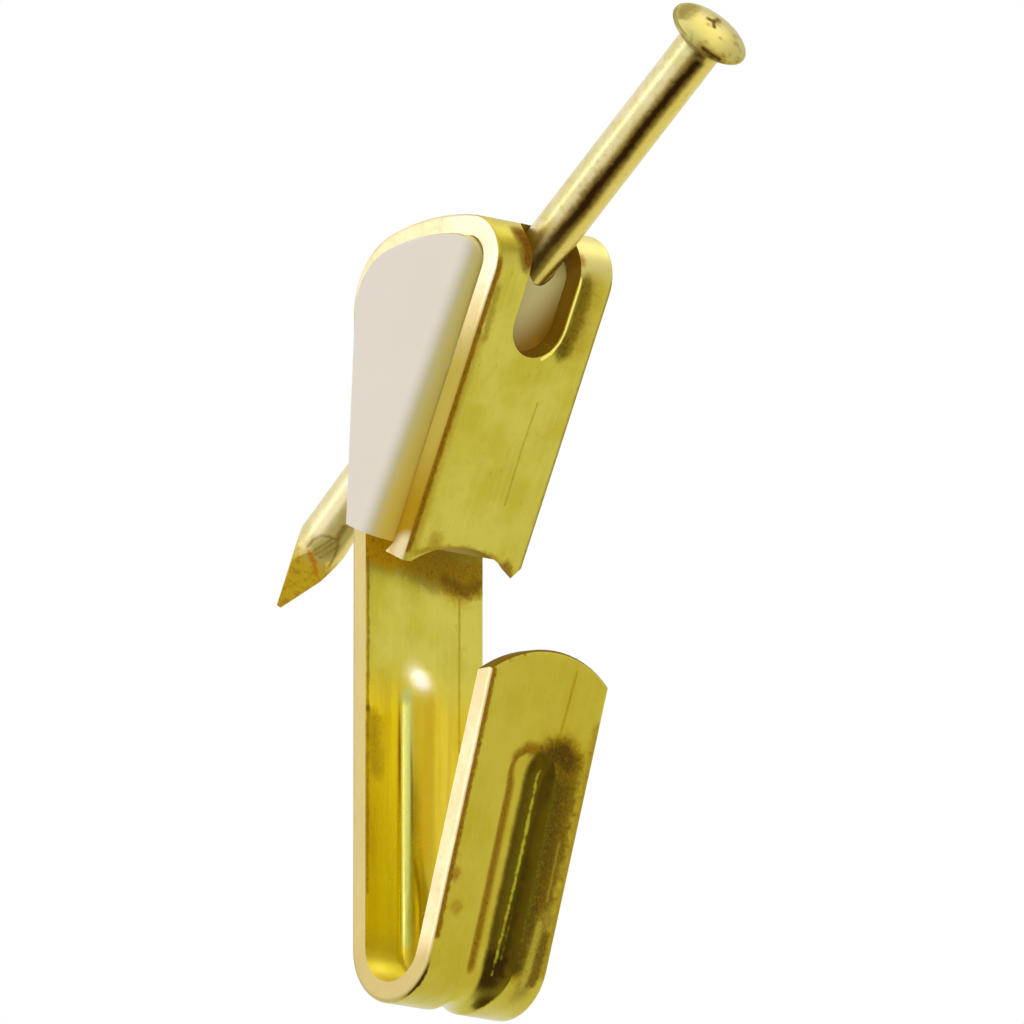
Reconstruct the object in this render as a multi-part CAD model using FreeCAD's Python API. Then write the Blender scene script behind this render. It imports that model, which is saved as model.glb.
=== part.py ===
# Picture hook: a folded brass strip, a moulded guide gripped in its fold, and the nail that it steers.
# Millimetres. X runs across the strip, the wall is the plane Y = 0, the room is at -Y, and Z is up.
# The origin is where the nail's centre line goes into the wall.
import FreeCAD, Part
import math
import os

# Strip: one band of sheet brass
strip_width = 6.7
strip_thickness = 0.9
edge_rounding = 0.2
top_rise = 7.62
top_arch_radius = 12.0
top_crest_share = 0.547
bottom_drop = 26.05
fold_reach = 9.32
front_fold_radius = 1.05
back_corner_radius = 2.3
flap_length = 12.93
flap_end_gap = 1.535
flap_hollow_radius = 4.6
flap_hollow_depth = 1.0
flap_trim_across = 0.55
flap_trim_along = 0.65
flap_burr_rise = 0.3
flap_burr_length = 0.48
flap_burr_width = 0.6
bend_radius = 1.7
lip_lean = 18.5
lip_length = 12.45
lip_crown_radius = 5.5
end_slant = 14.0

# Stiffening rib, pressed from outside the hook towards the inside
rib_depth = 0.6
rib_groove_width = 2.7
rib_bead_width = 2.8
rib_bend_loss = 0.36
rib_top_drop = 12.3
rib_lip_margin = 4.55
groove_blend = 0.3
bead_blend = 0.45

# Nail slot through the front fold, and the nail's way out through the plate
slot_clearance = 0.82
slot_below_fold = 3.3
exit_clearance = 0.15
exit_slack = 1.8

# Guide: a wedge that fills the fold and overhangs the strip on both sides, more at its foot than at its top
guide_setback = 0.53
guide_overhang = 0.93
guide_draft = 3.0
guide_corner_ease = 0.15
guide_edge_rounding = 0.15
cheek_rounding = 1.35
bore_clearance = 0.03

# Nail
nail_diameter = 2.03
nail_angle = 36.0
nail_length = 35.0
nail_stand_out = 24.0
head_diameter = 3.65
head_rim = 0.24
head_rim_ease = 0.08
head_dome = 0.42
head_neck = 0.45

# Nail point: the shank swells off centre, and four flats pinch it down to a blunt tip
point_length = 3.85
point_tip_width = 0.2
point_tip_offset = 0.36
point_swell = 0.11
point_swell_offset = 0.19
point_swell_length = 3.5
point_turn = 42.0
pinch_turn = 12.0

half_width = strip_width / 2
half_sheet = strip_thickness / 2
punch_depth = 2 * strip_thickness
slot_width = nail_diameter + slot_clearance
guide_half_width = half_width + guide_overhang
guide_length = flap_length - guide_setback
nail_radius = nail_diameter / 2
tolerance = 1e-5
ACROSS = FreeCAD.Vector(1, 0, 0)
UP = FreeCAD.Vector(0, 0, 1)


def place(out, up, x=0.0):
    """A point given by its distance out from the wall, its height and its place across the strip."""
    return FreeCAD.Vector(x, -out, up)


def turned(degrees):
    """The unit vector in the side view at an angle above the straight-out direction."""
    return place(math.cos(math.radians(degrees)), math.sin(math.radians(degrees)))


def unit(vector):
    """A vector's direction."""
    return vector * (1 / vector.Length)


def fold_point(radius, face, facing, face_up, arch):
    """The centre of a fold of this radius that touches a straight face and, from below, the top's arch."""
    start = face - facing * radius - arch_centre
    along = start.dot(face_up)
    lift = math.sqrt(along**2 - start.dot(start) + (arch - radius) ** 2) - along
    return arch_centre + start + face_up * lift


# Centres of the bend, the top's arch and its two folds in the side view
bend_outside = bend_radius + strip_thickness
fold_outside = front_fold_radius + strip_thickness
corner_outside = back_corner_radius + strip_thickness
bend_centre = place(bend_outside, bend_outside - bottom_drop)
arch_centre = place(fold_reach * top_crest_share, top_rise - top_arch_radius)
fold_centre = fold_point(fold_outside, place(fold_reach, 0), turned(0), UP, top_arch_radius)
corner_centre = fold_point(corner_outside, place(0, 0), turned(180), UP, top_arch_radius)

# The flap slopes back until its end stands a set gap from the plate
flap_span = math.hypot(front_fold_radius, flap_length)
flap_set_back = fold_reach - fold_outside - strip_thickness - flap_end_gap
flap_angle = math.degrees(math.acos(-flap_set_back / flap_span) - math.atan2(flap_length, front_fold_radius))

# Directions of the sloping runs, and how far the lip's crown rises above its corners
flap_normal = turned(-flap_angle)
flap_down = turned(-90 - flap_angle)
lip_normal = turned(-lip_lean)
lip_up = turned(90 - lip_lean)
nail_out = turned(nail_angle)
crown_rise = lip_crown_radius - math.sqrt(lip_crown_radius**2 - half_width**2)


def hook_run(depth, lip_reach):
    """Bend and lip as edges, at a depth below the strip's outside face."""
    radius = bend_outside - depth
    foot = bend_centre + turned(180) * radius
    lip_start = bend_centre + lip_normal * radius
    through = bend_centre + turned(270 - lip_lean / 2) * radius
    return [
        Part.Arc(foot, through, lip_start).toShape(),
        Part.makeLine(lip_start, lip_start + lip_up * lip_reach),
    ]


def fold_run(fold_radius, front_centre, corner_radius, back_centre, arch, flap_reach):
    """Flap, front fold, arched top and back corner as edges, from the flap's end to the top of the plate."""
    to_front = unit(front_centre - arch_centre)
    to_back = unit(back_centre - arch_centre)
    flap_start = front_centre + flap_normal * fold_radius
    fold_middle = front_centre + unit(flap_normal + to_front) * fold_radius
    top_front = arch_centre + to_front * arch
    top_middle = arch_centre + unit(to_front + to_back) * arch
    top_back = arch_centre + to_back * arch
    corner_middle = back_centre + unit(to_back + turned(180)) * corner_radius
    plate_top = back_centre + turned(180) * corner_radius
    return [
        Part.makeLine(flap_start + flap_down * flap_reach, flap_start),
        Part.Arc(flap_start, fold_middle, top_front).toShape(),
        Part.Arc(top_front, top_middle, top_back).toShape(),
        Part.Arc(top_back, corner_middle, plate_top).toShape(),
    ]


def strip_face_line(depth, lip_reach):
    """The whole folded line from the flap's end to the lip's end, at a depth below the outside face."""
    radii = [radius - depth for radius in (fold_outside, corner_outside, top_arch_radius)]
    upper = fold_run(radii[0], fold_centre, radii[1], corner_centre, radii[2], flap_length)
    lower = hook_run(depth, lip_reach)
    plate = Part.makeLine(upper[-1].lastVertex().Point, lower[0].firstVertex().Point)
    return upper + [plate] + lower


def band(outside, inside, width):
    """A solid of the given width across, between two lines in the side view that run the same way."""
    caps = [
        Part.makeLine(outside[0].firstVertex().Point, inside[0].firstVertex().Point),
        Part.makeLine(outside[-1].lastVertex().Point, inside[-1].lastVertex().Point),
    ]
    section = Part.Face(Part.Wire(Part.__sortEdges__(outside + inside + caps)))
    section.translate(ACROSS * (-width / 2))
    return section.extrude(ACROSS * width)


def rod(radius, start, direction, length):
    """A round bar from a point along a direction."""
    return Part.makeCylinder(radius, length, start, direction)


def middle_of(edge):
    """The point half way along an edge."""
    return edge.valueAt((edge.FirstParameter + edge.LastParameter) / 2)


def edges_over(solid, lines):
    """The edges of a solid that lie over the given lines of its side view, less those straight across it."""
    chosen = []
    for edge in solid.Edges:
        ends = [vertex.X for vertex in edge.Vertexes]
        if edge.Length < abs(ends[0] - ends[-1]) + tolerance:
            continue
        middle = middle_of(edge)
        flat = Part.Vertex(FreeCAD.Vector(0, middle.y, middle.z))
        if min(line.distToShape(flat)[0] for line in lines) < tolerance:
            chosen.append(edge)
    return chosen


def edges_left_by(cutter, edges):
    """Those of the given edges that lie on a cutter's surface."""
    skin = cutter.Shells[0]
    return [edge for edge in edges if skin.distToShape(Part.Vertex(middle_of(edge)))[0] < tolerance]


def rib_bar(radius, stand_off):
    """A round bar with ball ends that follows the hook, standing off the outside face, most at the bend."""
    half_turn = math.radians(lip_lean / 2)
    centre = bend_centre + turned(270 - lip_lean / 2) * (rib_bend_loss / (1 - math.sin(half_turn)))
    path_radius = bend_outside + stand_off - centre.distanceToPoint(bend_centre) * math.sin(half_turn)
    foot = centre + turned(180) * path_radius
    lip_start = centre + lip_normal * path_radius
    top = place(-stand_off, -rib_top_drop)
    lip_end = bend_centre + lip_normal * (bend_outside + stand_off) + lip_up * (lip_length - rib_lip_margin)
    ring = Part.Face(Part.Wire(Part.Circle(foot, UP, radius).toShape()))
    bend = ring.revolve(centre, -ACROSS, 180 - lip_lean)
    plate_leg = rod(radius, foot, UP, top.distanceToPoint(foot))
    lip_leg = rod(radius, lip_start, lip_up, lip_end.distanceToPoint(lip_start))
    balls = [Part.makeSphere(radius, top), Part.makeSphere(radius, lip_end)]
    return bend.multiFuse([plate_leg, lip_leg] + balls).removeSplitter()


def arc_radius(width):
    """The radius of an arc of this width that stands as high as the rib."""
    return ((width / 2) ** 2 + rib_depth**2) / (2 * rib_depth)


def press_rib(strip, face_lines):
    """The strip with its rib: one bar cuts the groove from outside, and another raises the bead inside."""
    groove_radius = arc_radius(rib_groove_width)
    bead_radius = arc_radius(rib_bead_width)
    groove = rib_bar(groove_radius, groove_radius - rib_depth)
    bead = rib_bar(bead_radius, bead_radius - rib_depth - strip_thickness)
    lining = []
    for depth in (half_sheet, strip_thickness + (rib_depth + bend_radius) / 2):
        lower = hook_run(depth, lip_length)
        foot = lower[0].firstVertex().Point
        lining.append([Part.makeLine(FreeCAD.Vector(0, foot.y, 0), foot)] + lower)
    strip = strip.fuse(bead.common(band(*lining, strip_width))).cut(groove).removeSplitter()
    over_faces = edges_over(strip, face_lines)
    strip = strip.makeFillet(bead_blend, edges_left_by(bead, over_faces))
    return strip.makeFillet(groove_blend, edges_left_by(groove, edges_over(strip, face_lines)))


def sheet_block(start, tilt, height):
    """A block as wide as the strip that stands through the sheet at one end, upwards from a point."""
    block = Part.makeBox(strip_width, punch_depth, height, place(punch_depth, 0, -half_width))
    block.rotate(FreeCAD.Vector(), ACROSS, tilt)
    block.translate(start)
    return block


def slanted_rod(radius, start, direction, slant):
    """A tapered bar through the sheet, with the given radius where it meets the outside face."""
    growth = math.tan(math.radians(slant))
    low = radius - (strip_thickness + half_sheet) * growth
    return Part.makeCone(low, low + punch_depth * growth, punch_depth, start, direction)


def flap_hollow():
    """What is cut from the flap's end to leave it hollow between two corners."""
    inside = fold_centre + flap_normal * (front_fold_radius - half_sheet)
    centre = inside + flap_down * (flap_length - flap_hollow_depth + flap_hollow_radius)
    block = sheet_block(inside + flap_down * (flap_length + half_sheet), flap_angle, 2 * flap_hollow_depth)
    return block.common(slanted_rod(flap_hollow_radius, centre, flap_normal, -end_slant))


def flap_trim():
    """What is cut from one corner of the flap, which is narrower than the other."""
    corner = fold_centre + flap_normal * (front_fold_radius - half_sheet) + flap_down * flap_length
    corner += ACROSS * half_width
    points = [corner - ACROSS * flap_trim_across, corner - flap_down * flap_trim_along]
    points.append(corner + ACROSS * flap_trim_across + flap_down * flap_trim_along)
    return Part.Face(Part.makePolygon(points + points[:1])).extrude(flap_normal * punch_depth)


def lip_corners():
    """What is cut from the lip's end to leave it crowned."""
    inside = bend_centre + lip_normal * (bend_radius - half_sheet)
    centre = inside + lip_up * (lip_length + crown_rise - lip_crown_radius)
    block = sheet_block(inside + lip_up * (lip_length - half_sheet), lip_lean, half_sheet + 2 * crown_rise)
    return block.cut(slanted_rod(lip_crown_radius, centre, lip_normal, end_slant))


def flap_burr():
    """The small burr that the shears leave inside the flap's other corner."""
    low = fold_centre + flap_normal * front_fold_radius + flap_down * flap_length
    low -= ACROSS * half_width
    in_sheet = flap_normal * flap_burr_rise
    points = [low + in_sheet, low - in_sheet, low - flap_down * flap_burr_length, low + in_sheet]
    return Part.Face(Part.makePolygon(points)).extrude(ACROSS * flap_burr_width)


def nail_slot():
    """The slot's cutter: the nail's way through the fold, a round lower end in the flap, and all between."""
    radius = slot_width / 2
    reach = 2 * fold_reach
    low = fold_centre + flap_down * (slot_below_fold - radius)
    nail_in_fold = nail_out * fold_centre.dot(nail_out)
    lower_end = rod(radius, low, flap_normal, reach)
    upper_end = rod(radius, nail_in_fold, nail_out, reach)
    corners = [low, low + flap_normal * reach, nail_in_fold + nail_out * reach, nail_in_fold]
    sweep = Part.Face(Part.makePolygon(corners + corners[:1]))
    sweep.translate(ACROSS * -radius)
    between = sweep.extrude(ACROSS * slot_width)
    return lower_end.multiFuse([upper_end, between])


def exit_hole():
    """An upright slot through the plate that lets the slanting nail out, with room below it."""
    radius = slot_width / 2
    slope = math.radians(nail_angle)
    nail_half_height = nail_radius / math.cos(slope) + exit_clearance
    highest = nail_half_height + strip_thickness * math.tan(slope) - radius
    lowest = radius - nail_half_height - exit_slack
    inside = strip_thickness + half_sheet
    ends = [rod(radius, place(inside, up), turned(180), punch_depth) for up in (lowest, highest)]
    middle = Part.makeBox(slot_width, punch_depth, highest - lowest, place(inside, lowest, -radius))
    return middle.multiFuse(ends)


def make_strip():
    """The strip: folded, cut to its arched ends, ribbed and pierced, with its outside edges drawn round."""
    lip_reach = lip_length + crown_rise
    outside = strip_face_line(0, lip_reach)
    inside = strip_face_line(strip_thickness, lip_reach)
    crown = lip_corners()
    strip = band(outside, inside, strip_width).cut(crown)
    strip = press_rib(strip, inside + outside)
    over = edges_over(strip, outside)
    rounded = [edge for edge in over if abs(middle_of(edge).x) > half_width - tolerance]
    rounded += edges_left_by(crown, over)
    strip = strip.makeFillet(edge_rounding, rounded)
    return strip.fuse(flap_burr()).cut([nail_slot(), exit_hole(), flap_hollow(), flap_trim()])


def cheek_place(height):
    """How far out across the strip the guide's cheeks stand at a height."""
    return guide_half_width - height * math.tan(math.radians(guide_draft))


def cheek_edges(edges):
    """Those of the given edges that lie in the guide's two cheeks."""
    chosen = []
    for edge in edges:
        middle = middle_of(edge)
        if abs(abs(middle.x) - cheek_place(middle.z)) < tolerance:
            chosen.append(edge)
    return chosen


def between_cheeks():
    """All that lies between the guide's cheeks, which lean in towards the top."""
    reach = 2 * fold_reach
    corners = []
    for side, up in ((-1, -reach), (1, -reach), (1, reach), (-1, reach)):
        corners.append(place(reach, up, side * cheek_place(up)))
    return Part.Face(Part.makePolygon(corners + corners[:1])).extrude(place(-2 * reach, 0))


def cheek_bar():
    """A bar along the flap with its two front edges well rounded, which gives the cheeks their fronts."""
    length = 2 * (guide_length + fold_outside)
    width = 4 * guide_half_width
    bar = Part.makeBox(width, 2 * fold_reach, length, place(0, -length / 2, -width / 2))
    bar.rotate(FreeCAD.Vector(), ACROSS, flap_angle)
    front = fold_centre + flap_normal * front_fold_radius
    bar.translate(front)
    bar = bar.common(between_cheeks())
    front_edges = [edge for edge in bar.Edges if abs((middle_of(edge) - front).dot(flap_normal)) < tolerance]
    return bar.makeFillet(cheek_rounding, cheek_edges(front_edges))


def make_guide():
    """The moulded wedge, bored along the nail's line."""
    front_radius = front_fold_radius + guide_corner_ease
    back_radius = back_corner_radius + guide_corner_ease
    arch = top_arch_radius - strip_thickness
    flap_face = fold_centre + flap_normal * front_fold_radius
    front_centre = fold_point(front_radius, flap_face, flap_normal, -flap_down, arch)
    back_centre = fold_point(back_radius, place(strip_thickness, 0), turned(180), UP, arch)
    foot_front = flap_face + flap_down * guide_length
    foot_back = foot_front - flap_normal * ((foot_front.y + strip_thickness) / flap_normal.y)
    flap_reach = (foot_front - front_centre).dot(flap_down)
    outline = fold_run(front_radius, front_centre, back_radius, back_centre, arch, flap_reach)
    outline.append(Part.makeLine(outline[-1].lastVertex().Point, foot_back))
    foot = Part.makeLine(foot_back, foot_front)
    section = Part.Face(Part.Wire(outline + [foot]))
    section.translate(ACROSS * (-2 * guide_half_width))
    wedge = section.extrude(ACROSS * (4 * guide_half_width)).common(between_cheeks())
    wedge = wedge.makeFillet(guide_edge_rounding, cheek_edges(edges_over(wedge, outline)))
    bore = rod(nail_radius + bore_clearance, nail_out * -fold_reach, nail_out, 4 * fold_reach)
    return wedge.common(cheek_bar()).cut(bore)


def nail_turning():
    """Head and shank, turned about the nail's own centre line, as far down as the point's swelling."""
    shank_start = point_length + point_swell_length
    rim_end = nail_length - head_dome
    rim_start = rim_end - head_rim
    head_radius = head_diameter / 2
    rim_inside = head_radius - head_rim_ease
    dome_radius = (rim_inside**2 + head_dome**2) / (2 * head_dome)
    lean = math.asin(rim_inside / dome_radius) / 2
    crest = FreeCAD.Vector(dome_radius * math.sin(lean), 0, nail_length - dome_radius * (1 - math.cos(lean)))
    corners = [
        FreeCAD.Vector(0, 0, shank_start),
        FreeCAD.Vector(nail_radius, 0, shank_start),
        FreeCAD.Vector(nail_radius, 0, rim_start - head_neck),
        FreeCAD.Vector(rim_inside, 0, rim_start),
        FreeCAD.Vector(head_radius, 0, rim_start + head_rim_ease),
        FreeCAD.Vector(head_radius, 0, rim_end - head_rim_ease),
        FreeCAD.Vector(rim_inside, 0, rim_end),
        FreeCAD.Vector(0, 0, nail_length),
    ]
    half = [Part.makeLine(a, b) for a, b in zip(corners[:6], corners[1:7])]
    half.append(Part.Arc(corners[6], crest, corners[7]).toShape())
    half.append(Part.makeLine(corners[7], corners[0]))
    return Part.Face(Part.Wire(half)).revolve(FreeCAD.Vector(), UP, 360)


def pinch_ring(half_size, centre):
    """A square about a centre, turned by the angle of the pinch."""
    reach = half_size * math.sqrt(2)
    corners = []
    for quarter in range(4):
        angle = math.radians(pinch_turn + 45 + 90 * quarter)
        corners.append(centre + FreeCAD.Vector(math.cos(angle), math.sin(angle), 0) * reach)
    return Part.makePolygon(corners + corners[:1])


def nail_point():
    """The swelling below the shank, and the end that four flats pinch off centre to the tip."""
    swollen = nail_radius + point_swell
    aside = FreeCAD.Vector(-point_swell_offset, 0, 0)
    shank_end = UP * (point_length + point_swell_length)
    pinch_start = aside + UP * point_length
    rings = [Part.Circle(shank_end, UP, nail_radius), Part.Circle(pinch_start, UP, swollen)]
    swelling = Part.makeLoft([Part.Wire(ring.toShape()) for ring in rings], True, True)
    tip = FreeCAD.Vector(-point_tip_offset, 0, 0)
    flats = [pinch_ring(point_tip_width / 2, tip), pinch_ring(swollen, pinch_start)]
    pinched = rod(swollen, aside, UP, point_length).common(Part.makeLoft(flats, True, True))
    return swelling, pinched


def make_nail():
    """The whole nail, laid along its slanting line with the pinch turned to one side."""
    nail = nail_turning().multiFuse(nail_point()).removeSplitter()
    nail.rotate(FreeCAD.Vector(), UP, 90 + point_turn)
    nail.rotate(FreeCAD.Vector(), ACROSS, 90 - nail_angle)
    nail.translate(nail_out * (nail_stand_out - nail_length))
    return nail


os.makedirs("parts", exist_ok=True)
for name, solid in (("hook_strip", make_strip()), ("nail_guide", make_guide()), ("nail", make_nail())):
    solid.exportStep("parts/" + name + ".step")
    print(name, len(solid.Solids), solid.isValid(), round(solid.Volume, 3))
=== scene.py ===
# Looks of the picture hook: brass strip, moulded guide and nail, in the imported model's own frame.
import math
from functools import cached_property
from typing import NamedTuple

import bpy
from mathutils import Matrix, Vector

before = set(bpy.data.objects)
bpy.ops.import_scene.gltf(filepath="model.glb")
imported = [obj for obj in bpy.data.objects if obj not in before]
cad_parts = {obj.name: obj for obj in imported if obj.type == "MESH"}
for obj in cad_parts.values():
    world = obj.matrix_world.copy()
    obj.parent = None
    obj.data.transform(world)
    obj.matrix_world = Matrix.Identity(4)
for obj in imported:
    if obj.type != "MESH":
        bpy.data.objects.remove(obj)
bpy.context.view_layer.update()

MM = 0.001

# Camera: the photograph's viewing angle, through a long lens
AZIMUTH = math.radians(-42.0)
ELEVATION = math.radians(-11.7)
CAMERA_DISTANCE = 1.0
CAMERA_TARGET = Vector((0, -6.50, -4.96)) * MM
PHOTO_WIDTH_PX = 1024
PX_PER_MM = 23.5
FRAME_WIDTH_MM = PHOTO_WIDTH_PX / PX_PER_MM
SENSOR_MM = 36.0

# Studio, in metres
FLOOR_DROP = 0.42
FLOOR_SIZE = 6.0
CARD_DROP = 0.26

# Faces of the strip in the side view, in millimetres out from the wall and up: a start and a direction
FLAP = ((9.107, 4.525), (-0.454, -0.891))
LIP = ((5.066, -24.275), (0.3173, 0.9483))
PLATE = ((0.9, 0.0), (0.0, -1.0))
CREST = ((1.5, 0.0), (0.0, -1.0))
GROOVE = ((4.677, -24.145), (0.3173, 0.9483))
GROOVE_SIDE = ((4.639, -24.132), (0.3173, 0.9483))
HALF_WIDTH = 3.35

# The nail's own directions, to its head and out of its upper side, and the sphere that dome and rim follow
NAIL_SLOPE = math.radians(36.0)
NAIL_ALONG = Vector((0, -math.cos(NAIL_SLOPE), math.sin(NAIL_SLOPE)))
NAIL_OVER = Vector((0, math.sin(NAIL_SLOPE), math.cos(NAIL_SLOPE)))
HEAD_TOP = 23.99
HEAD_ROUNDING = 3.7

# Browns that come on several faces of the strip, for stains and for painted dark reflections along the edges
OCHRE = (0.46, 0.28, 0.002)
BROWN = (0.32, 0.145, 0.001)
DARK_BROWN = (0.095, 0.048, 0.001)


class Mark(NamedTuple):
    """A soft line or spot: full within its core, gone at its reach, and with an edge that wanders."""

    places: list
    core: float
    reach: float
    strength: float
    tint: tuple
    wander: float


def at(across, out, up):
    """A place by its distances across the strip, out from the wall and up, in the row's millimetres."""
    return Vector((across, -out, up))


def path(face, *places):
    """A line of places on one of the strip's faces, each by its distance across and along."""
    (out, up), (step_out, step_up) = face
    return [at(across, out + step_out * along, up + step_up * along) for across, along in places]


def on_nail(*places):
    """Places on the nail: along it from the wall, degrees from its underside to the left, and out."""
    line = []
    for along, degrees, out in places:
        turn = math.radians(degrees)
        aside = Vector((-math.sin(turn), 0, 0)) - NAIL_OVER * math.cos(turn)
        line.append(NAIL_ALONG * along + aside * out)
    return line


def on_head(*places):
    """Places on the nail's domed head, across and over from its middle."""
    line = []
    for across, over in places:
        drop = HEAD_ROUNDING - math.sqrt(HEAD_ROUNDING**2 - across**2 - over**2)
        line.append(Vector((across, 0, 0)) + NAIL_OVER * over + NAIL_ALONG * (HEAD_TOP - drop))
    return line


class Surface:
    """A node material whose patterns and marks are placed in the row's own millimetres."""

    def __init__(self, name):
        self.material = bpy.data.materials.new(name)
        self.material.use_nodes = True
        self.tree = self.material.node_tree
        self.tree.nodes.clear()
        self.output = self.add("ShaderNodeOutputMaterial")
        self.shader = self.add("ShaderNodeBsdfPrincipled")
        self.tree.links.new(self.shader.outputs[0], self.output.inputs[0])
        metres = self.add("ShaderNodeTexCoord").outputs["Object"]
        self.place = self.vector("SCALE", metres, 1 / MM)
        self.x, self.y, self.z = self.split(self.place)
        self.out = self.math("MULTIPLY", self.y, -1.0)
        self.geometry = self.add("ShaderNodeNewGeometry")
        self.normal = self.geometry.outputs["Normal"]
        self.facing_x, self.facing_y, self.facing_z = self.split(self.normal)

    def add(self, kind, **settings):
        """A new node with its settings."""
        node = self.tree.nodes.new(kind)
        for name, value in settings.items():
            setattr(node, name, value)
        return node

    def feed(self, socket, value):
        """Link a socket to another socket, or set it to a number, a colour or a vector."""
        if isinstance(value, bpy.types.NodeSocket):
            self.tree.links.new(value, socket)
        elif hasattr(value, "__len__") and len(value) == 3 and len(socket.default_value) == 4:
            socket.default_value = (*value, 1.0)
        else:
            socket.default_value = value

    def math(self, operation, *values):
        """One arithmetic step."""
        node = self.add("ShaderNodeMath", operation=operation)
        for socket, value in zip(node.inputs, values):
            self.feed(socket, value)
        return node.outputs[0]

    def product(self, first, *others):
        """Numbers multiplied together."""
        for other in others:
            first = self.math("MULTIPLY", first, other)
        return first

    def total(self, first, *others):
        """Numbers added together."""
        for other in others:
            first = self.math("ADD", first, other)
        return first

    def rest(self, share):
        """What a share leaves of 1."""
        return self.math("SUBTRACT", 1.0, share)

    def sway(self, noise, width):
        """Noise swung about zero, over a width."""
        return self.product(self.math("SUBTRACT", noise, 0.5), width)

    def vector(self, operation, first, second=None):
        """One vector step. SCALE takes a number second, and DOT_PRODUCT and LENGTH give a number."""
        node = self.add("ShaderNodeVectorMath", operation=operation)
        self.feed(node.inputs[0], first)
        if operation == "SCALE":
            self.feed(node.inputs["Scale"], second)
        elif second is not None:
            self.feed(node.inputs[1], second)
        return node.outputs["Value" if operation in ("DOT_PRODUCT", "LENGTH") else "Vector"]

    def split(self, vector):
        """A vector's three numbers."""
        node = self.add("ShaderNodeSeparateXYZ")
        self.feed(node.inputs[0], vector)
        return node.outputs

    def ramp(self, value, low, high, low_result=0.0, high_result=1.0):
        """A smooth step between two values, held level outside them."""
        node = self.add("ShaderNodeMapRange", interpolation_type="SMOOTHSTEP")
        for socket, item in zip(node.inputs, (value, low, high, low_result, high_result)):
            self.feed(socket, item)
        return node.outputs[0]

    def fall(self, value, low, high):
        """A smooth step down from 1 to 0 between two values."""
        return self.ramp(value, low, high, 1.0, 0.0)

    def noise(self, scale, detail=3.0, roughness=0.55, shift=(0, 0, 0)):
        """Noise whose three scales are in waves to the millimetre."""
        node = self.add("ShaderNodeTexNoise")
        stretched = self.vector("MULTIPLY", self.vector("ADD", self.place, shift), scale)
        self.feed(node.inputs["Vector"], stretched)
        self.feed(node.inputs["Scale"], 1.0)
        self.feed(node.inputs["Detail"], detail)
        self.feed(node.inputs["Roughness"], roughness)
        return node.outputs[0]

    @cached_property
    def wandering(self):
        """The noise that the edges of marks wander with."""
        return self.noise((3.5, 3.5, 3.5), detail=4.0, shift=(7.1, 3.3, 1.7))

    def mix(self, share, first, second):
        """Two colours mixed, with the second's share from 0 to 1."""
        node = self.add("ShaderNodeMix", data_type="RGBA")
        for index, value in ((0, share), (6, first), (7, second)):
            self.feed(node.inputs[index], value)
        return node.outputs[2]

    def paint(self, colour, strength, share, tint):
        """A colour with a tint laid over it where the share says."""
        return self.mix(self.product(share, strength), colour, tint)

    def away(self, start, end):
        """The distance in millimetres from the line between two places."""
        span = end - start
        offset = self.vector("SUBTRACT", self.place, tuple(start))
        share = self.math("DIVIDE", self.vector("DOT_PRODUCT", offset, tuple(span)), span.length_squared)
        held = self.add("ShaderNodeClamp")
        self.feed(held.inputs[0], share)
        along = self.vector("SCALE", tuple(span), held.outputs[0])
        return self.vector("LENGTH", self.vector("SUBTRACT", offset, along))

    def stroke(self, mark):
        """The share of a mark, apart from its strength."""
        first = mark.places[0]
        distance = self.vector("LENGTH", self.vector("SUBTRACT", self.place, tuple(first)))
        for start, end in zip(mark.places, mark.places[1:]):
            distance = self.math("MINIMUM", distance, self.away(start, end))
        if mark.wander:
            distance = self.total(distance, self.sway(self.wandering, mark.wander))
        return self.fall(distance, mark.core, mark.reach)

    def draw(self, marks, mask=1.0):
        """Marks within a mask: the share, strength and tint of each."""
        return [(self.product(self.stroke(mark), mask), mark.strength, mark.tint) for mark in marks]

    def lay(self, colour, dull, layers):
        """Dull layers over a colour, by share, strength and tint. Gives the colour and its dullness."""
        for share, strength, tint in layers:
            share = self.product(share, strength)
            colour = self.mix(share, colour, tint)
            dull = self.math("MAXIMUM", dull, share)
        return colour, dull

    def lay_bright(self, colour, dull, layers):
        """Bright layers, such as painted highlights, over a colour, which take its dullness away."""
        for share, strength, tint in layers:
            share = self.product(share, strength)
            colour = self.mix(share, colour, tint)
            dull = self.product(dull, self.rest(share))
        return colour, dull

    def turn(self, share, direction, normal):
        """A normal turned towards a direction by a share from 0 to 1."""
        step = self.vector("SCALE", self.vector("SUBTRACT", direction, normal), share)
        return self.vector("NORMALIZE", self.vector("ADD", normal, step))

    def bump(self, height, depth_mm, normal=None):
        """A normal tilted by a height pattern of the given depth."""
        node = self.add("ShaderNodeBump")
        if normal is not None:
            self.feed(node.inputs["Normal"], normal)
        self.feed(node.inputs["Strength"], 1.0)
        self.feed(node.inputs["Distance"], depth_mm * MM)
        self.feed(node.inputs["Height"], height)
        return node.outputs[0]

    def finish(self, **sockets):
        """Feed the shader's sockets by name and give back the material."""
        for name, value in sockets.items():
            self.feed(self.shader.inputs[name.replace("_", " ")], value)
        return self.material

    def finish_brass(self, colour, dull, roughness, normal):
        """Brass that is metal where it is clean, and matt where it is dull."""
        return self.finish(
            Base_Color=colour,
            Metallic=self.ramp(dull, 0.0, 1.0, 1.0, 0.1),
            Roughness=roughness,
            Specular_IOR_Level=0.05,
            Normal=normal,
        )


def front_fold(s):
    """The share of the front fold, above the flap."""
    return s.product(s.ramp(s.z, 4.6, 5.8), s.ramp(s.out, 6.5, 7.5))


def outer_side(s):
    """The share of the faces that look out into the room."""
    return s.fall(s.facing_y, -0.35, -0.25)


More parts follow.
